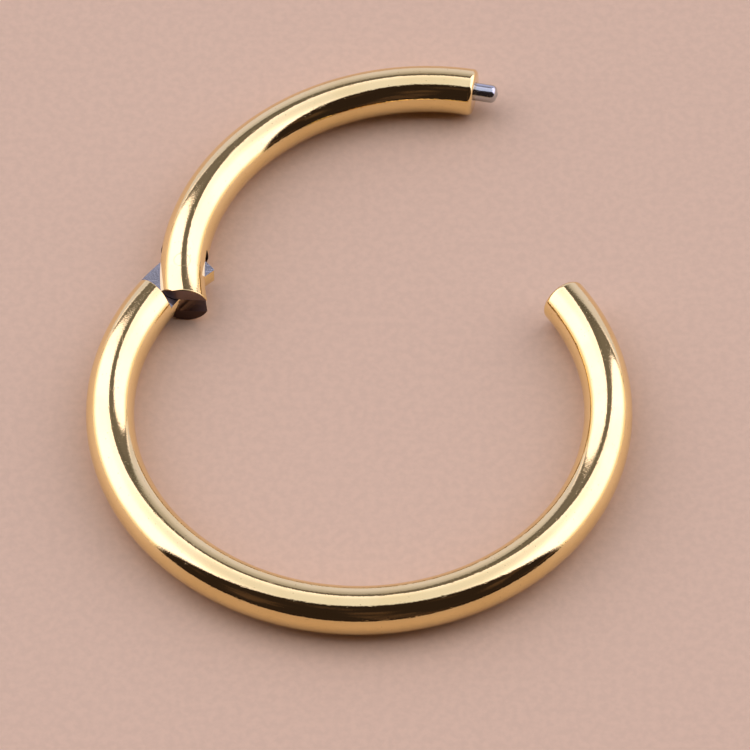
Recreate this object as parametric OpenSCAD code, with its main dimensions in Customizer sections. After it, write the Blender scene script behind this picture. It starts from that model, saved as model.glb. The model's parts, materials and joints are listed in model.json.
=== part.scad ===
// Clicker ring: a round wire ring whose upper part is a gate on a hinge.
// The ring lies flat in XY. The origin is the centre of its eye, on the wire's mid-plane.
// Angles are measured from +X, counter-clockwise seen from +Z.
// The gate is drawn shut, as part of the same circle, and then turned open about its pin.

/* [Wire] */
// Diameter of the round wire
wire_d = 1.2; // [1.1:0.05:1.4]
// Inner diameter of the shut ring
eye_d = 11.1; // [10:0.1:13]

/* [Gate] */
// Angle by which the gate stands open
open_angle = 43.2; // [0:0.1:90]
// Where the main arc's free end lies on the circle
free_end_at = 34.8; // [25:0.1:45]
// Gap between the two free ends when the gate is shut
end_gap = 0.05; // [0.03:0.01:0.1]

/* [Hinge] */
// Where the hinge pin lies on the circle
pin_at = 136.1; // [125:0.1:145]
// Diameter of the hinge pin
pin_d = 0.4; // [0.3:0.02:0.44]
// Play between the pin and the tongue, on the radius
pin_play = 0.025; // [0.015:0.005:0.04]
// Thickness of the main arc's tongue, which lies between the gate's two ears
tongue_t = 0.4; // [0.3:0.02:0.44]
// Play between the tongue and each ear
tongue_play = 0.02; // [0.015:0.005:0.03]
// Length of the tongue past the pin, along the circle
tongue_past_pin = 0.61; // [0.5:0.01:0.65]
// Distance from the pin's axis to the ears' end
ear_reach = 0.98; // [0.9:0.01:1.1]
// Gap between the ears' end and the main arc's shoulder when the gate is shut
shoulder_gap = 0.05; // [0.05:0.005:0.1]
// Turn of the ears' end and the shoulder from square to the wire at the pin
cut_slant = 2.5; // [1:0.5:12]

/* [Latch] */
// Diameter of the nub on the gate's free end
nub_d = 0.46; // [0.36:0.02:0.5]
// Length of the nub past the gate's end face
nub_l = 0.58; // [0.4:0.02:0.6]
// Offset of the nub from the wire's centre line, away from the eye
nub_out = 0.05; // [0:0.01:0.08]
// Play between the nub and its socket in the main arc
nub_play = 0.04; // [0.03:0.01:0.06]

/* [Hidden] */
arc_fn = 180;
wire_fn = 64;
bore_fn = 48;
gold = "#e8bd6a";
steel = "#a9adb6";
// Radius of the circle along the wire's middle
ring_r = eye_d / 2 + wire_d / 2;
// Degrees of the circle that one millimetre of wire takes up
deg_per_mm = 360 / (2 * PI * ring_r);
pin_x = ring_r * cos(pin_at);
pin_y = ring_r * sin(pin_at);
tongue_end_at = pin_at - tongue_past_pin * deg_per_mm;
gate_end_at = free_end_at + end_gap * deg_per_mm;
// Direction from the pin, square to the ears' end
cut_dir = pin_at + 90 - cut_slant;
shoulder_reach = ear_reach + shoulder_gap;
// The ears' outer corner is cut back, to pass the shoulder as the gate opens
corner_turn = 30;
corner_reach = 0.94 * ear_reach;
// Half the tongue's width and its length past the pin give its corners' reach
tongue_corner = norm([tongue_past_pin, wire_d / 2]);
slot_r = tongue_corner + 0.075;
slot_t = tongue_t + 2 * tongue_play;
// Gap on the radius round the fixed pin in the ears, and round the nub's stem in the gate
seat_gap = 0.01;
// How far the nub's stem sits inside the gate, and the width of its rounded rim
stem_l = 0.6;
nub_rim = 0.12;
// Distances from the pin's axis between which the nub travels
nub_root = [ring_r * cos(gate_end_at) + nub_out * cos(gate_end_at) - pin_x,
            ring_r * sin(gate_end_at) + nub_out * sin(gate_end_at) - pin_y];
nub_way = [sin(gate_end_at), -cos(gate_end_at)];
nub_side = [cos(gate_end_at), sin(gate_end_at)] * nub_d / 2;
nub_near = norm(nub_root - nub_side) - nub_play;
nub_far = norm(nub_root + nub_way * nub_l + nub_side) + nub_play;
nub_tip = nub_root + nub_way * nub_l - nub_side;
// Angle, seen from the pin, at which the nub's lowest corner rests
nub_low = atan2(nub_tip[1], nub_tip[0]) - nub_play * 360 / (2 * PI * nub_near);
socket_sweep = 12;
// Larger than the wire, for cuts that pass right through it
past = 3 * wire_d;

// A stretch of the wire along the circle
module wire_arc(from, to) {
    rotate_extrude(angle = to - from, start = from, $fn = arc_fn)
        translate([ring_r, 0])
            circle(d = wire_d, $fn = wire_fn);
}

module at_pin() {
    translate([pin_x, pin_y, 0]) children();
}

// Turns its children about the hinge pin
module turned(angle) {
    at_pin()
        rotate(angle)
            translate([-pin_x, -pin_y, 0]) children();
}

// Everything between two distances from the pin in one direction, as wide as a cut needs
module band(direction, near, far, low, high) {
    at_pin()
        rotate(direction)
            translate([near, -past / 2, low])
                cube([far - near, past, high - low]);
}

// The room that the two ears take, above and below the tongue
module ear_room() {
    band(cut_dir, -past / 2, shoulder_reach, tongue_t / 2, past);
    band(cut_dir, -past / 2, shoulder_reach, -past, -tongue_t / 2);
}

// The path of the nub about the pin, cut into the main arc's free end
module latch_socket() {
    height = nub_d + 2 * nub_play;
    at_pin()
        rotate_extrude(angle = socket_sweep, start = nub_low, $fn = arc_fn)
            translate([nub_near, -height / 2])
                square([nub_far - nub_near, height]);
}

module main_arc() {
    color(gold)
        difference() {
            wire_arc(tongue_end_at, 360 + free_end_at);
            ear_room();
            at_pin() cylinder(r = pin_d / 2 + pin_play, h = past, center = true, $fn = bore_fn);
            latch_socket();
        }
}

// The slot between the ears, in which the tongue turns
module hinge_slot() {
    at_pin() cylinder(r = slot_r, h = slot_t, center = true, $fn = arc_fn);
    band(cut_dir, 0, past, -slot_t / 2, slot_t / 2);
}

// The nub, standing on the plane z = 0 with its stem below
module nub_form() {
    radius = nub_d / 2;
    rotate_extrude($fn = bore_fn)
        polygon([
            [0, -stem_l],
            [radius, -stem_l],
            [radius, nub_l - nub_rim],
            [radius - nub_rim / 4, nub_l - nub_rim / 2],
            [radius - nub_rim, nub_l],
            [0, nub_l]
        ]);
}

// Stands its children on the shut gate's end face, pointing along the wire
module on_gate_end() {
    rotate(gate_end_at)
        translate([ring_r + nub_out, 0, 0])
            rotate([90, 0, 0]) children();
}

module gate() {
    color(gold)
        turned(open_angle)
            difference() {
                wire_arc(gate_end_at, pin_at + 2 * ear_reach * deg_per_mm);
                band(cut_dir, ear_reach, past, -past, past);
                band(cut_dir - corner_turn, corner_reach, past, -past, past);
                hinge_slot();
                at_pin() cylinder(r = pin_d / 2 + seat_gap, h = past, center = true, $fn = bore_fn);
                on_gate_end()
                    cylinder(r = nub_d / 2 + seat_gap, h = 2 * (stem_l + seat_gap), center = true, $fn = bore_fn);
            }
}

// The pin is ground flush with the wire
module hinge_pin() {
    color(gold)
        turned(open_angle)
            intersection() {
                at_pin() cylinder(d = pin_d, h = past, center = true, $fn = bore_fn);
                wire_arc(pin_at - 2 * pin_d * deg_per_mm, pin_at + 2 * pin_d * deg_per_mm);
            }
}

module latch_nub() {
    color(steel)
        turned(open_angle)
            on_gate_end() nub_form();
}

main_arc();
gate();
hinge_pin();
latch_nub();
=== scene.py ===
"""Clicker ring: a polished gold-tone wire ring whose gate stands open on a flush hinge pin.

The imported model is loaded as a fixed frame. The ring's pieces are surfaces worked out with numpy, in
millimetres, about the same circle, pin and planes as the solids. Each is cut with plain tool shapes,
brought to metres and put on the body that it moves with.
"""

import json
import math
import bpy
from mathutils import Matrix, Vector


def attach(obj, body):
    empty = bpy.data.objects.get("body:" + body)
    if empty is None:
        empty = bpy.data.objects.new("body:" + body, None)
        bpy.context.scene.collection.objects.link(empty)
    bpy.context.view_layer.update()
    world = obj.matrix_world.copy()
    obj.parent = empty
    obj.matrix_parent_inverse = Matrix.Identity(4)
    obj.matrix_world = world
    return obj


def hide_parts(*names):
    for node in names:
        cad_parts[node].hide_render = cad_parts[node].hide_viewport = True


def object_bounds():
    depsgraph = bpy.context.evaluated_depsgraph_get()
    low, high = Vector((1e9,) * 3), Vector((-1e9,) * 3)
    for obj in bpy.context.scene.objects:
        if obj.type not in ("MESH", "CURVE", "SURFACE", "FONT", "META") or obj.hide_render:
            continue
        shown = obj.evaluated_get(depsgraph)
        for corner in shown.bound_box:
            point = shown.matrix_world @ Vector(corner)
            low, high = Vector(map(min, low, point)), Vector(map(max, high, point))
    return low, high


bl_info = {
    "name": "Clicker ring",
    "version": (1, 0, 0),
    "blender": (4, 5, 0),
    "location": "3D View > Sidebar > Clicker ring",
    "description": "Builds a hinged clicker ring, its finishes and a small studio round it",
    "category": "Object",
}

import bmesh
import bpy
import numpy as np
from mathutils import Matrix, Vector

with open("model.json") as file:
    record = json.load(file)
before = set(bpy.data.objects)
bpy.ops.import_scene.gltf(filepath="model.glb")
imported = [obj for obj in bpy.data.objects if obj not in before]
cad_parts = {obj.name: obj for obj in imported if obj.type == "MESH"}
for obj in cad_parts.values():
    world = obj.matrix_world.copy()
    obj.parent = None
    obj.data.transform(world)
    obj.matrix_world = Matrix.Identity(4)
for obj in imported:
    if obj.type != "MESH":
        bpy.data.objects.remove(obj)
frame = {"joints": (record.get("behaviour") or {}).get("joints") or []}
cad_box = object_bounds()

MM = 0.001
GOLD_SLOT = "gold_plating"
STEEL_SLOT = "bare_steel"
GOLD = "polished_gold_tone"
STEEL = "ground_steel"
# The cut-face material is a stain together with painted shade for the faces inside the hinge.
CUT_FACE = "stained_cut_face"
# Where these three stand in the list of a piece's materials
GOLD_AT, STEEL_AT, CUT_FACE_AT = 0, 1, 2
WIRE_MAP = "wire"
RING_BODY = "ring"
GATE_BODY = "gate"
HINGE = frame["joints"][0]
PIN = np.array(HINGE["pos_m"][:2]) / MM
OPEN_ANGLE = math.radians(-HINGE["range_deg"][0])
FULL_TURN = 2 * math.pi


class RingSizes(bpy.types.PropertyGroup):
    """The ring's driving dimensions, as in the solids, and the small roundings that only show up close."""

    wire_d: bpy.props.FloatProperty(
        name="Wire", description="Diameter of the round wire",
        default=1.2 * MM, min=1.1 * MM, max=1.4 * MM, unit="LENGTH", precision=5)
    free_end_at: bpy.props.FloatProperty(
        name="Free end", description="Where the main arc's free end lies on the circle",
        default=math.radians(34.8), subtype="ANGLE")
    end_gap: bpy.props.FloatProperty(
        name="End gap", description="Gap between the two free ends when the gate is shut",
        default=0.05 * MM, unit="LENGTH", precision=5)
    pin_d: bpy.props.FloatProperty(
        name="Pin", description="Diameter of the hinge pin",
        default=0.4 * MM, unit="LENGTH", precision=5)
    pin_play: bpy.props.FloatProperty(
        name="Pin play", description="Play between the pin and the tongue, on the radius",
        default=0.025 * MM, unit="LENGTH", precision=6)
    seat_gap: bpy.props.FloatProperty(
        name="Seat gap", description="Gap on the radius round the pin in the ears and round the nub's stem",
        default=0.01 * MM, unit="LENGTH", precision=6)
    tongue_t: bpy.props.FloatProperty(
        name="Tongue", description="Thickness of the tongue between the two ears",
        default=0.4 * MM, unit="LENGTH", precision=5)
    tongue_play: bpy.props.FloatProperty(
        name="Tongue play", description="Play between the tongue and each ear",
        default=0.02 * MM, unit="LENGTH", precision=6)
    tongue_past_pin: bpy.props.FloatProperty(
        name="Tongue past pin", description="Length of the tongue past the pin, along the circle",
        default=0.61 * MM, unit="LENGTH", precision=5)
    ear_reach: bpy.props.FloatProperty(
        name="Ear reach", description="Distance from the pin's axis to the ears' end",
        default=0.98 * MM, unit="LENGTH", precision=5)
    shoulder_gap: bpy.props.FloatProperty(
        name="Shoulder gap", description="Gap between the ears' end and the shoulder when the gate is shut",
        default=0.05 * MM, unit="LENGTH", precision=5)
    cut_slant: bpy.props.FloatProperty(
        name="Cut slant", description="Turn of the ears' end and the shoulder from square to the wire",
        default=math.radians(2.5), subtype="ANGLE")
    nub_d: bpy.props.FloatProperty(
        name="Nub", description="Diameter of the nub on the gate's free end",
        default=0.46 * MM, unit="LENGTH", precision=5)
    nub_l: bpy.props.FloatProperty(
        name="Nub length", description="Length of the nub past the gate's end face",
        default=0.58 * MM, unit="LENGTH", precision=5)
    nub_out: bpy.props.FloatProperty(
        name="Nub offset", description="Offset of the nub from the wire's centre line, away from the eye",
        default=0.05 * MM, unit="LENGTH", precision=6)
    nub_play: bpy.props.FloatProperty(
        name="Nub play", description="Play between the nub and its socket",
        default=0.04 * MM, unit="LENGTH", precision=6)
    end_round: bpy.props.FloatProperty(
        name="End rounding", description="Rounding of the rims of the two free ends",
        default=0.13 * MM, unit="LENGTH", precision=5)
    hinge_round: bpy.props.FloatProperty(
        name="Hinge rounding", description="Rounding of the rims of the ears' end and the shoulder",
        default=0.03 * MM, unit="LENGTH", precision=5)


class RingLooks(bpy.types.PropertyGroup):
    """The colours and levels of the finishes and of the studio."""

    gold: bpy.props.FloatVectorProperty(
        name="Gold", description="Colour that the gold-tone plating mirrors",
        default=(0.96, 0.74, 0.35), size=3, subtype="COLOR", min=0, max=1)
    steel: bpy.props.FloatVectorProperty(
        name="Steel", description="Colour that the bare steel mirrors",
        default=(0.56, 0.57, 0.57), size=3, subtype="COLOR", min=0, max=1)
    # The cut face colour is partly a stain and partly painted shade: it is darker than bare steel so that
    # the faces inside the hinge look shaded.
    cut_face: bpy.props.FloatVectorProperty(
        name="Cut face", description="Colour of the stained faces cut inside the hinge",
        default=(0.30, 0.22, 0.20), size=3, subtype="COLOR", min=0, max=1)
    floor: bpy.props.FloatVectorProperty(
        name="Floor", description="Colour of the plain floor",
        default=(0.665, 0.47, 0.285), size=3, subtype="COLOR", min=0, max=1)
    camera_elevation: bpy.props.FloatProperty(
        name="Camera elevation", description="Height of the camera above the horizon",
        default=math.radians(52.06), subtype="ANGLE")
    camera_distance: bpy.props.FloatProperty(
        name="Camera distance", description="Distance from the camera to the point it looks at",
        default=177.7 * MM, unit="LENGTH")
    camera_lens: bpy.props.FloatProperty(
        name="Camera lens", description="Focal length in millimetres, for a sensor 36 mm wide",
        default=344.1)
    look_at: bpy.props.FloatVectorProperty(
        name="Look at", description="Point that the camera looks at",
        default=(0.391 * MM, 1.069 * MM, 0), size=3, subtype="XYZ", unit="LENGTH")


class Layout:
    """The named places and planes of the ring, in millimetres and radians, worked out from the sizes."""

    def __init__(self, sizes):
        for name in sizes.__annotations__:
            value = getattr(sizes, name)
            is_angle = name in ("free_end_at", "cut_slant")
            setattr(self, name, value if is_angle else value / MM)
        self.wire_r = self.wire_d / 2
        self.ring_r = float(np.hypot(*PIN))
        self.pin_at = math.atan2(PIN[1], PIN[0])
        self.tongue_end_at = self.pin_at - self.tongue_past_pin / self.ring_r
        self.gate_end_at = self.free_end_at + self.end_gap / self.ring_r
        self.cut_dir = self.pin_at + math.pi / 2 - self.cut_slant
        self.shoulder_reach = self.ear_reach + self.shoulder_gap
        # The plane that cuts the ears' outer corner back
        self.corner_dir = self.cut_dir - math.radians(30)
        self.corner_reach = 0.94 * self.ear_reach
        # The tongue's end has rounded corners, and the slot clears the farthest point of them
        self.tongue_corner = 0.1
        slot_room = 0.05
        to_rounding = math.hypot(
            self.tongue_past_pin - self.tongue_corner, self.wire_r - self.tongue_corner)
        self.slot_r = to_rounding + self.tongue_corner + slot_room
        self.slot_t = self.tongue_t + 2 * self.tongue_play
        # The nub: how far its stem sits inside the gate, where it comes out and which way it points
        self.stem_l = 0.6
        self.nub_root = (self.ring_r + self.nub_out) * unit(self.gate_end_at)
        self.nub_way = -unit(self.gate_end_at + math.pi / 2)


def unit(angle):
    """The unit vector in XY at an angle from +X."""
    return np.array([math.cos(angle), math.sin(angle)])


def plane_reach(facing, past_pin):
    """How far from the origin a plane lies that faces one way and passes the pin by a distance."""
    return float(unit(facing) @ PIN) + past_pin


def turn_to_plane(rho, facing, reach):
    """The angle at which a circle of radius rho about the origin meets an upright plane.

    A point of the circle at angle a lies rho * cos(a - facing) along the plane's normal, so the two
    meet where that is the plane's reach: a = facing - arccos(reach / rho).
    """
    return facing - np.arccos(reach / rho)


def soft_least(a, b, blend):
    """The lesser of two values, with the change from one to the other rounded over the blend."""
    return -blend * np.logaddexp(-a / blend, -b / blend)


def ring_points(rho, angle, z):
    """Points at a distance rho from the ring's axis, at an angle and a height. Arrays broadcast."""
    rho, angle, z = np.broadcast_arrays(rho, angle, z)
    return np.stack([rho * np.cos(angle), rho * np.sin(angle), z], axis=-1)


def turned_about_pin(points, angle):
    """The points turned about the hinge pin's axis."""
    turned = points.copy()
    cos, sin = math.cos(angle), math.sin(angle)
    arm = points[..., :2] - PIN
    turned[..., 0] = PIN[0] + cos * arm[..., 0] - sin * arm[..., 1]
    turned[..., 1] = PIN[1] + sin * arm[..., 0] + cos * arm[..., 1]
    return turned


def mesh_from_grid(name, points):
    """A closed mesh from a grid of points whose rows run round it, and whose end rows are folded shut.

    Row i, column j joins to row i + 1 and column j + 1, the last column to the first. Points that
    coincide, at the poles and along folded rows, are then merged.
    """
    rows, columns = points.shape[:2]
    row = np.arange(rows - 1)[:, None] * columns
    here = np.arange(columns)[None, :]
    there = (here + 1) % columns
    corners = [row + here, row + there, row + columns + there, row + columns + here]
    quads = np.stack(corners, axis=-1).reshape(-1, 4)
    mesh = bpy.data.meshes.new(name)
    mesh.from_pydata(points.reshape(-1, 3).tolist(), [], quads.tolist())
    weld(mesh)
    return mesh


def weld(mesh, distance=1e-5):
    """Merges points that coincide, drops faces that have no area, and turns all faces outwards."""
    work = bmesh.new()
    work.from_mesh(mesh)
    bmesh.ops.remove_doubles(work, verts=work.verts, dist=distance)
    bmesh.ops.dissolve_degenerate(work, dist=distance, edges=work.edges)
    bmesh.ops.recalc_face_normals(work, faces=work.faces)
    work.to_mesh(mesh)
    work.free()
    mesh.update()


def prism(name, outline, low, high):
    """A cutting tool: a flat outline, counter-clockwise, raised from one height to another."""
    low_row = np.column_stack([outline, np.full(len(outline), low)])
    high_row = np.column_stack([outline, np.full(len(outline), high)])
    count = len(outline)
    here = np.arange(count)
    there = (here + 1) % count
    sides = np.stack([here, there, there + count, here + count], axis=-1)
    mesh = bpy.data.meshes.new(name)
    faces = sides.tolist() + [here[::-1].tolist(), (here + count).tolist()]
    mesh.from_pydata(np.vstack([low_row, high_row]).tolist(), [], faces)
    mesh.update()
    return mesh


def circle_outline(centre, radius, sides, start=0.0, sweep=FULL_TURN, closed=True):
    """Points round a circle, or along an arc of it."""
    angle = start + sweep * np.linspace(0, 1, sides, endpoint=not closed)
    return np.column_stack([centre[0] + radius * np.cos(angle), centre[1] + radius * np.sin(angle)])


def lathe(name, profile, sides):
    """A surface of revolution about Z.

    Each point of the profile is a radius and a height. Turned through the angle t it lies at
    (radius * cos t, radius * sin t, height). A profile starts and ends on the axis.
    """
    radius, height = np.asarray(profile, float).T
    angle = np.linspace(0, FULL_TURN, sides, endpoint=False)
    return mesh_from_grid(name, ring_points(radius[:, None], angle[None, :], height[:, None]))


def placed_object(name, mesh, materials):
    """An object for the mesh, in the scene, with its materials."""
    for material in materials:
        mesh.materials.append(material)
    piece = bpy.data.objects.new(name, mesh)
    bpy.context.scene.collection.objects.link(piece)
    return piece


def cut(piece, tools):
    """Cuts the tool meshes out of a piece. The cut faces take the tools' material."""
    helpers = []
    for tool in tools:
        helper = placed_object(tool.name, tool, [])
        helpers.append(helper)
        step = piece.modifiers.new(tool.name, "BOOLEAN")
        step.operation = "DIFFERENCE"
        step.solver = "EXACT"
        step.material_mode = "TRANSFER"
        step.object = helper
    bpy.context.view_layer.update()
    evaluated = piece.evaluated_get(bpy.context.evaluated_depsgraph_get())
    result = bpy.data.meshes.new_from_object(evaluated)
    weld(result)
    piece.modifiers.clear()
    piece.data = result
    for helper in helpers:
        bpy.data.objects.remove(helper)


def read_values(rows, name, width=1, kind=np.float32):
    """One property of every row of a mesh's data, as an array with a line for each row."""
    values = np.empty(len(rows) * width, kind)
    rows.foreach_get(name, values)
    return values.reshape(-1, width) if width > 1 else values


def corner_places(mesh):
    """The place of each face corner, in the order of the faces."""
    places = read_values(mesh.vertices, "co", 3)
    return places[read_values(mesh.loops, "vertex_index", kind=np.int32)].astype(float)


def wire_normals(mesh, layout, centre, sharp_angle):
    """Smooth shading that is exact on the round wire.

    Edges steeper than the sharp angle stay sharp. A corner that lies on the wire's own surface takes
    the direction from the nearest point of the wire's centre line, as a torus has it.
    """
    skin_depth = 2e-5
    widest_change = math.radians(12)
    mesh.shade_smooth()
    mesh.set_sharp_from_angle(angle=sharp_angle)
    normals = read_values(mesh.corner_normals, "vector", 3).astype(float)
    places = corner_places(mesh)
    flat = places[:, :2] - centre
    along = layout.ring_r * flat / np.linalg.norm(flat, axis=1, keepdims=True)
    spoke = np.column_stack([flat - along, places[:, 2]])
    length = np.linalg.norm(spoke, axis=1, keepdims=True)
    exact = spoke / np.maximum(length, 1e-9)
    on_wire = np.abs(length[:, 0] - layout.wire_r) < skin_depth
    close = (exact * normals).sum(axis=1) > math.cos(widest_change)
    normals[on_wire & close] = exact[on_wire & close]
    mesh.normals_split_custom_set(normals.tolist())


def wire_map(mesh, layout, centre):
    """The piece's own map, in millimetres: along the wire's centre line, and round its section.

    Along is ring_r times the angle about the ring's axis, and round is wire_r times the angle about
    the centre line. Within a face both are counted on from its first corner, so no face spans the
    place where an angle starts again.
    """
    places = corner_places(mesh)
    starts = read_values(mesh.polygons, "loop_start", kind=np.int32)
    totals = read_values(mesh.polygons, "loop_total", kind=np.int32)
    first = np.repeat(starts, totals)
    flat = places[:, :2] - centre
    along = np.arctan2(flat[:, 1], flat[:, 0])
    around = np.arctan2(places[:, 2], np.linalg.norm(flat, axis=1) - layout.ring_r)
    along, around = (
        angle[first] + (angle - angle[first] + math.pi) % FULL_TURN - math.pi for angle in (along, around))
    mapped = np.column_stack([along * layout.ring_r, around * layout.wire_r])
    uv = mesh.uv_layers.new(name=WIRE_MAP)
    uv.data.foreach_set("uv", mapped.astype(np.float32).ravel())


def face_data(mesh):
    """The centres, normals and material numbers of a mesh's faces, as arrays."""
    centres = read_values(mesh.polygons, "center", 3)
    normals = read_values(mesh.polygons, "normal", 3)
    return centres, normals, read_values(mesh.polygons, "material_index", kind=np.int32)


def on_plane(centres, normals, facing, past_pin):
    """Which faces lie on the upright plane that faces one way and passes the pin by a distance.

    Faces of the blend beside the plane count too, while they stay close to it and face nearly its way.
    """
    blend_depth = 0.015
    least_agreement = 0.93
    way = unit(facing)
    near = np.abs((centres[:, :2] - PIN) @ way - past_pin) < blend_depth
    return near & (np.abs(normals[:, :2] @ way) > least_agreement)


def paint_tongue(mesh, layout):
    """Gives the tongue's two flats the bare steel, and the shoulder's face the stained finish with its
    painted shade.
    """
    centres, normals, numbers = face_data(mesh)
    flats = (np.abs(normals[:, 2]) > 0.999) & (np.abs(np.abs(centres[:, 2]) - layout.tongue_t / 2) < 1e-3)
    numbers[flats] = STEEL_AT
    numbers[on_plane(centres, normals, layout.cut_dir, layout.shoulder_reach)] = CUT_FACE_AT
    mesh.polygons.foreach_set("material_index", numbers)


def paint_ears(mesh, layout):
    """Gives the ears' end faces the stained finish with its painted shade."""
    centres, normals, numbers = face_data(mesh)
    numbers[on_plane(centres, normals, layout.cut_dir, layout.ear_reach)] = CUT_FACE_AT
    numbers[on_plane(centres, normals, layout.corner_dir, layout.corner_reach)] = CUT_FACE_AT
    mesh.polygons.foreach_set("material_index", numbers)


def finish_piece(piece, layout, centre, body, slot, *nodes, sharp_angle=math.radians(28)):
    """Shades and maps a piece, brings it from millimetres to metres and puts it on its body."""
    wire_normals(piece.data, layout, centre, sharp_angle)
    wire_map(piece.data, layout, centre)
    piece.data.transform(Matrix.Scale(MM, 4))
    piece.data.update()
    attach(piece, body)
    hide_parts(*nodes)


def end_rings(radius, rounding, face_steps=5, round_steps=9):
    """Rings from the middle of an end face out to the wire's skin, as pairs of radius and inset.

    The face's rings lie on the end plane. Over the rim the angle t goes from a right angle to 0, the
    radius is radius - rounding * (1 - cos t), and the inset from the plane is
    rounding * (1 - sin t).
    """
    face = np.linspace(0, 1, face_steps, endpoint=False)[:, None] * (radius - rounding)
    t = np.linspace(math.pi / 2, 0, round_steps)[:, None]
    radii = np.vstack([face, radius - rounding * (1 - np.cos(t))])
    insets = np.vstack([np.zeros_like(face), rounding * (1 - np.sin(t))])
    return radii, insets


def main_arc_points(layout):
    """The main arc's skin, from its free end round to the shoulder and out along the tongue.

    Each column keeps one angle v round the wire's section. From the middle of the free end's face it
    goes out over the rounded rim and along the wire, where a point is the distance
    ring_r + wire_r * cos v from the axis and the height wire_r * sin v. At the shoulder it goes over
    a rim whose rounding fades out towards the tongue's sides, down the shoulder's face to the
    tongue's flat, along it to the tongue's end, and there to the mid-plane, where it meets the
    column of -v. Columns within the tongue's thickness run straight on along the wire.
    """
    half = layout.tongue_t / 2
    side = math.asin(half / layout.wire_r)
    side_steps, face_steps, along_steps = 12, 48, 420
    half_round = np.concatenate([
        np.linspace(-side, side, side_steps, endpoint=False),
        np.linspace(side, math.pi - side, face_steps, endpoint=False)])
    v = np.concatenate([half_round, half_round + math.pi])[None, :]
    cos, sin = np.cos(v), np.sin(v)
    within = np.abs(sin) <= math.sin(side) + 1e-9

    radii, insets = end_rings(layout.wire_r, np.full_like(v, layout.end_round))
    free_rho = layout.ring_r + radii * cos
    free_angle = turn_to_plane(free_rho, layout.free_end_at + math.pi / 2, -insets) + FULL_TURN
    free = ring_points(free_rho, free_angle, radii * sin)

    reach = plane_reach(layout.cut_dir, layout.shoulder_reach)
    fade = math.radians(22)
    above = np.clip((np.arcsin(np.abs(sin)) - side) / fade, 0, 1)
    rounding = np.where(within, 0, layout.hinge_round * above * (2 - above))
    t = np.linspace(0, math.pi / 2, 9)[:, None]
    rim_radius = layout.wire_r - rounding * (1 - np.cos(t))
    rim_rho = layout.ring_r + rim_radius * cos
    rim_angle = turn_to_plane(rim_rho, layout.cut_dir, reach + rounding * (1 - np.sin(t)))
    rim = ring_points(rim_rho, rim_angle, rim_radius * sin)

    share = np.linspace(0, 1, along_steps)[1:-1, None]
    wire_angle = free_angle[-1] * (1 - share) + rim_angle[0] * share
    wire = ring_points(layout.ring_r + layout.wire_r * cos, wire_angle, layout.wire_r * sin)

    rho, angle = rim_rho[-1:], rim_angle[-1:]
    rim_z = rim_radius[-1:] * sin
    flat_z = np.clip(rim_z, -half, half)
    down = np.linspace(0, 1, 7)[1:, None]
    shoulder = ring_points(rho, angle, rim_z * (1 - down) + flat_z * down)

    corner = layout.tongue_corner
    over = np.clip((np.abs(rho - layout.ring_r) - (layout.wire_r - corner)) / corner, 0, 1)
    inset = corner * (1 - np.sqrt(1 - over ** 2))
    end_angle = layout.tongue_end_at + inset / layout.ring_r
    out = np.linspace(0, 1, 40)[1:, None]
    flat = ring_points(rho, angle * (1 - out) + end_angle * out, flat_z)
    shut = np.linspace(1, 0, 5)[1:, None]
    tip = ring_points(rho, end_angle, flat_z * shut)
    return np.vstack([free, wire, rim, shoulder, flat, tip])


def gate_points(layout):
    """The shut gate's skin, from its free end to the ears' end, before the slot is cut.

    Each column keeps one angle v round the wire's section, as on the main arc. The ears' end is the
    nearer of two planes, the end face and the corner that is cut back, blended where they meet.
    """
    around_steps, along_steps = 128, 240
    v = np.linspace(0, FULL_TURN, around_steps, endpoint=False)[None, :]
    cos, sin = np.cos(v), np.sin(v)
    blend = 0.02 / layout.ring_r

    radii, insets = end_rings(layout.wire_r, np.full_like(v, layout.end_round))
    free_rho = layout.ring_r + radii * cos
    free_angle = turn_to_plane(free_rho, layout.gate_end_at + math.pi / 2, insets)
    free = ring_points(free_rho, free_angle, radii * sin)

    radii, insets = end_rings(layout.wire_r, np.full_like(v, layout.hinge_round), face_steps=14)
    ear_rho = layout.ring_r + radii * cos
    face = turn_to_plane(ear_rho, layout.cut_dir, plane_reach(layout.cut_dir, layout.ear_reach) - insets)
    corner = turn_to_plane(
        ear_rho, layout.corner_dir, plane_reach(layout.corner_dir, layout.corner_reach) - insets)
    ear_angle = soft_least(face, corner, blend)
    ears = ring_points(ear_rho, ear_angle, radii * sin)[::-1]

    share = np.linspace(0, 1, along_steps)[1:-1, None]
    wire_angle = free_angle[-1] * (1 - share) + ear_angle[-1] * share
    wire = ring_points(layout.ring_r + layout.wire_r * cos, wire_angle, layout.wire_r * sin)
    return np.vstack([free, wire, ears])


def pin_bore(layout, gap):
    """The tool that drills the pin's bore, with a gap on the radius."""
    outline = circle_outline(PIN, layout.pin_d / 2 + gap, 72)
    return prism("pin_bore", outline, -layout.wire_d, layout.wire_d)


def socket_tool(layout):
    """The path of the nub about the pin, as a piece of a ring about the pin's axis."""
    arm = layout.nub_root - PIN
    side = unit(layout.gate_end_at) * layout.nub_d / 2
    near = np.linalg.norm(arm - side) - layout.nub_play
    far = np.linalg.norm(arm + layout.nub_way * layout.nub_l + side) + layout.nub_play
    tip = arm + layout.nub_way * layout.nub_l - side
    low = math.atan2(tip[1], tip[0]) - layout.nub_play / near
    sweep = math.radians(12)
    steps = 24
    outer = circle_outline(PIN, far, steps, low, sweep, closed=False)
    inner = circle_outline(PIN, near, steps, low, sweep, closed=False)[::-1]
    half = layout.nub_d / 2 + layout.nub_play
    return prism("socket", np.vstack([outer, inner]), -half, half)


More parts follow.
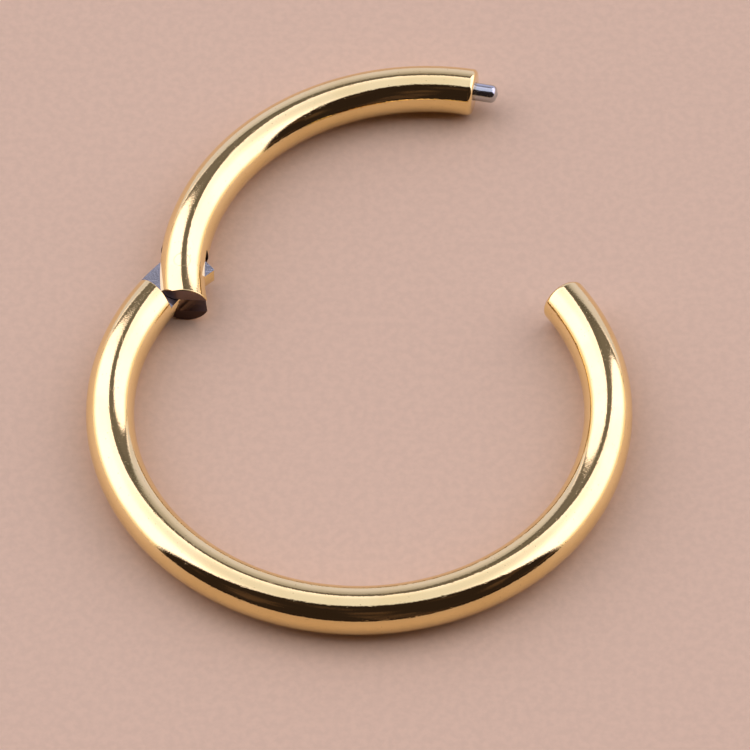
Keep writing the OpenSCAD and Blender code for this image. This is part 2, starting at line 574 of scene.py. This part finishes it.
def slot_tool(layout):
    """The slot between the ears: a disc about the pin that runs out past the ears' end.

    Its back is deeper on the ring's outer side, where the tongue's side lies when the gate is wide open.
    The radius grows there by outer_room, over a few degrees of the turn from the eye's side.
    """
    outer_room = 0.055
    deepens_from, deepens_over = math.radians(115), math.radians(12)
    turn = np.linspace(0, math.pi, 181)
    radius = layout.slot_r + outer_room * np.clip((turn - deepens_from) / deepens_over, 0, 1)
    angle = layout.cut_dir + math.pi / 2 + turn
    back = PIN + np.column_stack([radius * np.cos(angle), radius * np.sin(angle)])
    past = unit(layout.cut_dir) * 3 * layout.wire_d
    outline = np.vstack([back, back[-1] + past, back[0] + past])
    return prism("slot", outline, -layout.slot_t / 2, layout.slot_t / 2)


def stem_bore(layout):
    """The tool that drills the seat of the nub's stem, along the wire from the gate's end face."""
    radius = layout.nub_d / 2 + layout.seat_gap
    depth = layout.stem_l + layout.seat_gap
    mesh = lathe("stem_bore", [(0, -depth), (radius, -depth), (radius, depth), (0, depth)], 64)
    mesh.transform(nub_place(layout))
    return mesh


def nub_place(layout):
    """The turn and shift that stand +Z on the shut gate's end face, pointing along the wire."""
    way = Vector((*layout.nub_way, 0))
    side = Vector((*unit(layout.gate_end_at), 0))
    turn = Matrix((side, way.cross(side), way)).transposed().to_4x4()
    return Matrix.Translation((*layout.nub_root, 0)) @ turn


def pin_points(layout):
    """The hinge pin's skin: both ends follow the wire's round surface, with a soft rim.

    A point at the radius q from the pin's axis, at the angle t, lies at the distance rho from the
    ring's axis, and its height is sqrt(wire_r^2 - (rho - ring_r)^2), less the rim's rounding.
    """
    rim = 0.008
    radius = layout.pin_d / 2 + 0.7 * layout.seat_gap
    over_rim = np.linspace(0.2, 1.57, 6)
    q = np.append(np.linspace(0, radius - rim, 12), radius - rim * (1 - np.sin(over_rim)))
    t = np.linspace(0, FULL_TURN, 72, endpoint=False)
    x = PIN[0] + q[:, None] * np.cos(t)
    y = PIN[1] + q[:, None] * np.sin(t)
    height = np.sqrt(layout.wire_r ** 2 - (np.hypot(x, y) - layout.ring_r) ** 2)
    over = np.clip((q - (radius - rim)) / rim, 0, 1)[:, None]
    height = height - rim * (1 - np.sqrt(1 - over ** 2))
    upper = np.stack([x, y, height], axis=-1)
    lower = np.stack([x, y, -height], axis=-1)[::-1]
    return np.vstack([upper, lower])


def nub_profile(layout):
    """The nub's outline as radius and height: a stem, a straight side and a tip with a rounded rim."""
    radius, rim, crown = layout.nub_d / 2, 0.14, 0.03
    flat_r = radius - rim
    t = np.linspace(0, math.pi / 2, 12)
    rim_part = np.column_stack([flat_r + rim * np.cos(t), layout.nub_l - crown - rim + rim * np.sin(t)])
    q = np.linspace(flat_r, 0, 8)[1:]
    tip = np.column_stack([q, layout.nub_l - crown * (q / flat_r) ** 2])
    stem = [(0, -layout.stem_l), (radius, -layout.stem_l), (radius, 0)]
    return np.vstack([stem, rim_part, tip])


def fine_polish_group():
    """The marks that fine polishing leaves, as masks that the metals share.

    Hairlines are a noise stretched along the wire. Pits are small round cells, of which a random few
    are kept. Grain is a fine even noise, as the polishing paste leaves it. The cloud is a slow noise,
    for the parts of the surface that are polished a bit less.
    """
    group = bpy.data.node_groups.get("fine_polish")
    if group:
        return group
    group = bpy.data.node_groups.new("fine_polish", "ShaderNodeTree")
    socket = group.interface.new_socket
    socket("Place", in_out="INPUT", socket_type="NodeSocketVector")
    socket("Hairlines per mm along", in_out="INPUT", socket_type="NodeSocketFloat")
    socket("Hairlines per mm across", in_out="INPUT", socket_type="NodeSocketFloat")
    socket("Pits per mm", in_out="INPUT", socket_type="NodeSocketFloat")
    for name in ("Hairlines", "Pits", "Cloud", "Grain"):
        socket(name, in_out="OUTPUT", socket_type="NodeSocketFloat")
    write = NodeWriter(group)
    given = write.add("NodeGroupInput").outputs
    stretch = write.add(
        "ShaderNodeCombineXYZ",
        {0: given["Hairlines per mm along"], 1: given["Hairlines per mm across"], 2: 1.0})
    stretched = write.add(
        "ShaderNodeVectorMath", {0: given["Place"], 1: stretch.outputs[0]}, operation="MULTIPLY")
    line = write.add("ShaderNodeTexNoise", {"Vector": stretched.outputs[0], "Scale": 1.0, "Detail": 1.0})
    hairlines = write.step(line.outputs["Fac"], 0.60, 0.72)
    cells = write.add(
        "ShaderNodeTexVoronoi", {"Vector": given["Place"], "Scale": given["Pits per mm"]}, feature="F1")
    kept = write.add("ShaderNodeSeparateXYZ", {0: cells.outputs["Color"]}).outputs
    size = write.step(kept[0], 0.45, 1.0, 0.0, 0.24)
    depth = write.math("SUBTRACT", size, cells.outputs["Distance"])
    pits = write.step(depth, 0.0, 0.14)
    cloud = write.add("ShaderNodeTexNoise", {"Vector": given["Place"], "Scale": 0.7, "Detail": 4.0})
    grain = write.add("ShaderNodeTexNoise", {"Vector": given["Place"], "Scale": 24.0, "Detail": 2.0})
    result = {"Hairlines": hairlines, "Pits": pits, "Cloud": write.step(cloud.outputs["Fac"], 0.35, 0.68),
              "Grain": grain.outputs["Fac"]}
    write.add("NodeGroupOutput", result)
    return group


def metal(name, place_maker, along, across, pits, tones, roughness, relief):
    """A polished metal: its mirror colour, how rough it is and the marks of its polish.

    Along, across and pits count the hairlines and pits in a millimetre. The tones are the main
    colour, that of the cloudier parts and that at the bottom of a pit. The roughness is that of the
    clear parts, what the cloud adds and what a hairline adds. The relief is the height of a hairline,
    the depth of a pit and the height of the grain, in millimetres.
    """
    material = bpy.data.materials.new(name)
    material.use_nodes = True
    write = NodeWriter(material.node_tree)
    shader = material.node_tree.nodes["Principled BSDF"]
    marks = write.add("ShaderNodeGroup", node_tree=fine_polish_group())
    values = {"Place": place_maker(write), "Hairlines per mm along": along,
              "Hairlines per mm across": across, "Pits per mm": pits}
    for key, value in values.items():
        write.set(marks.inputs[key], value)
    hairlines, pit_mask, cloud, grain = marks.outputs
    clear, cloudy, bottom = tones
    tone = write.mix_colour(cloud, clear, cloudy)
    tone = write.mix_colour(write.math("MULTIPLY", pit_mask, 0.7), tone, bottom)
    write.set(shader.inputs["Base Color"], tone)
    shader.inputs["Metallic"].default_value = 1
    base, cloud_adds, line_adds = roughness
    rough = write.math("MULTIPLY_ADD", cloud, cloud_adds, base)
    rough = write.math("MULTIPLY_ADD", hairlines, line_adds, rough)
    write.set(shader.inputs["Roughness"], rough)
    line_height, pit_depth, grain_height = relief
    height = write.math("MULTIPLY", grain, grain_height)
    height = write.math("MULTIPLY_ADD", hairlines, line_height, height)
    height = write.math("MULTIPLY_ADD", pit_mask, -pit_depth, height)
    write.set(shader.inputs["Normal"], write.bump(height))
    return material


def wire_place(write):
    """Millimetres along the wire and round it, from the piece's own map."""
    return write.add("ShaderNodeUVMap", uv_map=WIRE_MAP).outputs["UV"]


def block_place(write):
    """Millimetres in the object's own axes, for flat and drilled faces."""
    place = write.add("ShaderNodeTexCoord").outputs["Object"]
    scaled = write.add("ShaderNodeMapping", {"Vector": place, "Scale": (1 / MM, 1 / MM, 1 / MM)})
    return scaled.outputs["Vector"]


def make_gold(looks):
    """Gold-tone plating over polished steel: a clear mirror with faint hairlines and a few pits."""
    clear = np.array(looks.gold)
    tones = (clear, clear * (0.97, 0.95, 0.90), clear * (0.55, 0.45, 0.40))
    return metal(
        GOLD, wire_place, along=4.0, across=20.0, pits=13.0, tones=tones,
        roughness=(0.03, 0.03, 0.05), relief=(0.0004, 0.0008, 0.0008))


def make_steel(looks):
    """Bare steel as the grinder leaves it: a satin mirror with plain grinding lines."""
    clear = np.array(looks.steel)
    tones = (clear, clear * 0.86, clear * 0.45)
    return metal(
        STEEL, block_place, along=1.5, across=30.0, pits=9.0, tones=tones,
        roughness=(0.13, 0.08, 0.06), relief=(0.0003, 0.0004, 0.0006))


def make_cut_face(looks):
    """The faces cut inside the hinge: matt and brown, partly a stain of plating and polish that stayed
    there and partly painted shade, darker than bare steel because little light gets into the hinge.

    The painted shade grows towards the underside of the wire, where the lower ear lies in the upper ear's
    shadow.
    """
    clear = np.array(looks.cut_face)
    tones = (clear, clear * (0.62, 0.55, 0.50), clear * 0.3)
    material = metal(
        CUT_FACE, block_place, along=3.0, across=14.0, pits=9.0, tones=tones,
        roughness=(0.42, 0.14, 0.08), relief=(0.002, 0.004, 0.003))
    write = NodeWriter(material.node_tree)
    shader = material.node_tree.nodes["Principled BSDF"]
    place = write.add("ShaderNodeTexCoord").outputs["Object"]
    height = write.add("ShaderNodeSeparateXYZ", {0: place}).outputs["Z"]
    # Painted shade: darker towards the underside, where the lower ear lies in the upper ear's shadow.
    underside_painted_shade = write.step(height, 0.1 * MM, -0.25 * MM)
    bare = shader.inputs["Base Color"].links[0].from_socket
    write.set(shader.inputs["Base Color"], write.mix_colour(underside_painted_shade, bare, clear * (0.30, 0.24, 0.20)))
    return material


def material_named(name, maker, looks):
    """The material of that name, made on its first use."""
    return bpy.data.materials.get(name) or maker(looks)


class ClickerPiece:
    """What the operators that build pieces share."""

    bl_options = {"REGISTER", "UNDO"}

    def begin(self, context):
        """The layout from the panel's sizes, and the piece's three materials."""
        layout = Layout(context.scene.ring_sizes)
        looks = context.scene.ring_looks
        metals = [material_named(GOLD, make_gold, looks),
                  material_named(STEEL, make_steel, looks),
                  material_named(CUT_FACE, make_cut_face, looks)]
        return layout, metals


class RING_OT_main_arc(ClickerPiece, bpy.types.Operator):
    """Build the main arc, with its tongue, bore and latch socket"""

    bl_idname = "clicker.main_arc"
    bl_label = "Main arc"

    def execute(self, context):
        layout, metals = self.begin(context)
        mesh = mesh_from_grid("ring_wire", main_arc_points(layout))
        piece = placed_object("ring_wire", mesh, metals)
        tools = [pin_bore(layout, layout.pin_play), socket_tool(layout)]
        for tool in tools:
            tool.materials.append(metals[STEEL_AT])
        cut(piece, tools)
        paint_tongue(piece.data, layout)
        finish_piece(piece, layout, (0, 0), RING_BODY, GOLD_SLOT, "main_arc")
        return {"FINISHED"}


class RING_OT_gate(ClickerPiece, bpy.types.Operator):
    """Build the gate, with the slot between its ears, and turn it open"""

    bl_idname = "clicker.gate"
    bl_label = "Gate"

    def execute(self, context):
        layout, metals = self.begin(context)
        mesh = mesh_from_grid("gate_wire", gate_points(layout))
        piece = placed_object("gate_wire", mesh, metals)
        tools = [slot_tool(layout), pin_bore(layout, layout.seat_gap), stem_bore(layout)]
        # The slot and the bores take the cut-face material, whose dark tone is partly painted shade.
        for tool in tools:
            tool.materials.append(metals[CUT_FACE_AT])
        cut(piece, tools)
        paint_ears(piece.data, layout)
        piece.data.transform(opening_turn())
        centre = turned_about_pin(np.zeros(3), OPEN_ANGLE)[:2]
        finish_piece(piece, layout, centre, GATE_BODY, GOLD_SLOT, "gate")
        return {"FINISHED"}


class RING_OT_pin_and_nub(ClickerPiece, bpy.types.Operator):
    """Build the two small turned pieces: the hinge pin and the latch nub"""

    bl_idname = "clicker.pin_and_nub"
    bl_label = "Pin and nub"

    def execute(self, context):
        layout, metals = self.begin(context)
        centre = turned_about_pin(np.zeros(3), OPEN_ANGLE)[:2]
        pin_mesh = mesh_from_grid("gate_pin", pin_points(layout))
        pin = placed_object("gate_pin", pin_mesh, [metals[GOLD_AT]])
        pin.data.transform(opening_turn())
        finish_piece(pin, layout, centre, GATE_BODY, GOLD_SLOT, "hinge_pin")
        nub_mesh = lathe("gate_nub", nub_profile(layout), 72)
        nub = placed_object("gate_nub", nub_mesh, [metals[STEEL_AT]])
        nub.data.transform(opening_turn() @ nub_place(layout))
        finish_piece(nub, layout, centre, GATE_BODY, STEEL_SLOT, "latch_nub")
        return {"FINISHED"}


def opening_turn():
    """The turn about the pin from shut to the open rest pose, as a matrix."""
    to_pin = Matrix.Translation((*PIN, 0))
    return to_pin @ Matrix.Rotation(OPEN_ANGLE, 4, "Z") @ to_pin.inverted()


class NodeWriter:
    """Adds nodes to a tree in few words."""

    def __init__(self, tree):
        self.tree = tree

    def add(self, kind, inputs=(), **settings):
        node = self.tree.nodes.new(kind)
        for name, value in settings.items():
            setattr(node, name, value)
        for key, value in dict(inputs).items():
            self.set(node.inputs[key], value)
        return node

    def set(self, socket, value):
        if isinstance(value, bpy.types.NodeSocket):
            self.tree.links.new(value, socket)
        else:
            socket.default_value = value

    def math(self, operation, *values):
        node = self.add("ShaderNodeMath", enumerate(values), operation=operation)
        return node.outputs[0]

    def step(self, value, low, high, out_low=0.0, out_high=1.0):
        """A smooth step from one level to another as the value goes from low to high."""
        node = self.add(
            "ShaderNodeMapRange",
            {"Value": value, "From Min": low, "From Max": high, "To Min": out_low, "To Max": out_high},
            interpolation_type="SMOOTHSTEP")
        return node.outputs["Result"]

    def mix_colour(self, share, a, b):
        """A mix of two colours, each a socket or three values."""
        a, b = (value if isinstance(value, bpy.types.NodeSocket) else (*value, 1) for value in (a, b))
        node = self.add("ShaderNodeMix", {0: share, 6: a, 7: b}, data_type="RGBA")
        return node.outputs[2]

    def bump(self, height):
        """The normal of a surface with a relief, whose height is in millimetres."""
        node = self.add("ShaderNodeBump", {"Height": height, "Distance": MM, "Strength": 1.0})
        return node.outputs["Normal"]


def make_studio_light(world):
    """A white tent round the ring that is open towards the camera.

    The light depends on its direction (x, y, z) alone. Towards the camera, where y is below -0.26,
    the room is dark, with a few dim brown shapes. Elsewhere the tent is lit from outside, most at the
    height of its side lamps, and it is warm and dimmer near the floor. Two dark seams run down the
    tent's back from one point, wide at the top and thin at the foot. Between them hangs a back
    sheet, which is dimmer towards that point. A seam is where the direction comes near one of two
    slanted planes through the ring, y * 0.613 - z * 0.480 - |x| * 0.627 = offset.
    """
    tent_foot, tent_side, lamp_glow = (1.0, 0.82, 0.69), (0.89, 0.92, 1.18), (2.0, 1.85, 2.45)
    sheet_low, sheet_high, seam_cloth = (0.74, 0.74, 1.04), (0.37, 0.36, 0.44), (0.045, 0.043, 0.030)
    room_dark, room_shape = (0.026, 0.017, 0.015), (0.080, 0.048, 0.038)
    world.use_nodes = True
    tree = world.node_tree
    tree.nodes.clear()
    write = NodeWriter(tree)
    direction = write.add("ShaderNodeTexCoord").outputs["Generated"]
    x, y, z = write.add("ShaderNodeSeparateXYZ", {0: direction}).outputs
    past_seam = write.math("SUBTRACT", write.math("MULTIPLY", y, 0.613), write.math("MULTIPLY", z, 0.480))
    past_seam = write.math("SUBTRACT", past_seam, write.math("MULTIPLY", write.math("ABSOLUTE", x), 0.627))
    past_seam = write.math("SUBTRACT", past_seam, write.step(x, -0.10, 0.14, 0.03, -0.07))
    lamps = write.math("MULTIPLY", write.step(z, 0.02, 0.36), write.step(z, 0.98, 0.72))
    tent = write.mix_colour(write.step(z, 0.05, 0.5), tent_foot, tent_side)
    tent = write.mix_colour(lamps, tent, lamp_glow)
    sheet = write.mix_colour(write.step(z, 0.30, 0.80), sheet_low, sheet_high)
    tent = write.mix_colour(write.step(past_seam, 0.01, 0.07), tent, sheet)
    half_width = write.math("MAXIMUM", write.math("MULTIPLY_ADD", z, 0.17, -0.022), 0.008)
    half_width = write.math("MINIMUM", half_width, 0.085)
    from_seam = write.math("DIVIDE", write.math("ABSOLUTE", past_seam), half_width)
    seam = write.math("MULTIPLY", write.step(from_seam, 1.08, 0.62), 0.93)
    tent = write.mix_colour(seam, tent, seam_cloth)
    shape = write.add("ShaderNodeTexNoise", {"Vector": direction, "Scale": 2.6, "Detail": 2.0})
    dim = write.step(shape.outputs["Fac"], 0.54, 0.70)
    room = write.mix_colour(dim, room_dark, room_shape)
    light = write.mix_colour(write.step(y, -0.30, -0.22), room, tent)
    glow = write.add("ShaderNodeBackground", {"Color": light, "Strength": 1.0})
    write.add("ShaderNodeOutputWorld", {"Surface": glow.outputs[0]})


def make_floor(looks, height):
    """A plain pale floor, a wide flat disc under the ring, with the faint even grain of smooth card."""
    floor_radius, grain_height = 1.5, 0.006
    outline = circle_outline((0, 0), floor_radius, 96)
    mesh = bpy.data.meshes.new("floor")
    corners = np.column_stack([outline, np.full(len(outline), height)])
    mesh.from_pydata(corners.tolist(), [], [list(range(len(outline)))])
    material = bpy.data.materials.new("floor_card")
    material.use_nodes = True
    write = NodeWriter(material.node_tree)
    shader = material.node_tree.nodes["Principled BSDF"]
    grain = write.add(
        "ShaderNodeTexNoise", {"Vector": block_place(write), "Scale": 5.0, "Detail": 3.0}).outputs["Fac"]
    colour = np.array(looks.floor)
    tone = write.mix_colour(write.step(grain, 0.3, 0.7), colour * 0.965, np.minimum(colour * 1.035, 1))
    write.set(shader.inputs["Base Color"], tone)
    height_mm = write.math("MULTIPLY", grain, grain_height)
    write.set(shader.inputs["Normal"], write.bump(height_mm))
    shader.inputs["Roughness"].default_value = 0.55
    shader.inputs["Specular IOR Level"].default_value = 0.5
    floor = placed_object("floor", mesh, [material])


def make_camera(looks):
    """The camera, at the photograph's angle: in front of the ring and above it."""
    elevation = looks.camera_elevation
    back = Vector((0, -math.cos(elevation), math.sin(elevation)))
    lens = bpy.data.cameras.new("camera")
    lens.sensor_width = 36
    lens.lens = looks.camera_lens
    lens.clip_start = 2 * MM
    lens.clip_end = 10
    camera = bpy.data.objects.new("camera", lens)
    bpy.context.scene.collection.objects.link(camera)
    camera.location = Vector(looks.look_at) + back * looks.camera_distance
    camera.rotation_euler = (math.pi / 2 - elevation, 0, 0)
    bpy.context.scene.camera = camera


class RING_OT_stage(bpy.types.Operator):
    """Build the floor, the studio light and the camera"""

    bl_idname = "clicker.stage"
    bl_label = "Stage"
    bl_options = {"REGISTER", "UNDO"}

    def execute(self, context):
        looks = context.scene.ring_looks
        scene = context.scene
        scene.world = scene.world or bpy.data.worlds.new("studio")
        make_studio_light(scene.world)
        make_floor(looks, cad_box[0].z)
        make_camera(looks)
        scene.view_settings.view_transform = "Standard"
        return {"FINISHED"}


class RING_PT_panel(bpy.types.Panel):
    """The sizes and looks, and a button for each step"""

    bl_label = "Clicker ring"
    bl_idname = "RING_PT_panel"
    bl_space_type = "VIEW_3D"
    bl_region_type = "UI"
    bl_category = "Clicker ring"

    def draw(self, context):
        for group in (context.scene.ring_sizes, context.scene.ring_looks):
            box = self.layout.box()
            for name in group.__annotations__:
                box.prop(group, name)
        for step in STEPS:
            self.layout.operator(step.bl_idname)


STEPS = (RING_OT_main_arc, RING_OT_gate, RING_OT_pin_and_nub, RING_OT_stage)
CLASSES = (RingSizes, RingLooks, *STEPS, RING_PT_panel)


def register():
    for entry in CLASSES:
        bpy.utils.register_class(entry)
    bpy.types.Scene.ring_sizes = bpy.props.PointerProperty(type=RingSizes)
    bpy.types.Scene.ring_looks = bpy.props.PointerProperty(type=RingLooks)


def unregister():
    del bpy.types.Scene.ring_looks
    del bpy.types.Scene.ring_sizes
    for entry in reversed(CLASSES):
        bpy.utils.unregister_class(entry)


def main():
    register()
    bpy.ops.clicker.main_arc()
    bpy.ops.clicker.gate()
    bpy.ops.clicker.pin_and_nub()
    bpy.ops.clicker.stage()


if __name__ == "__main__":
    main()
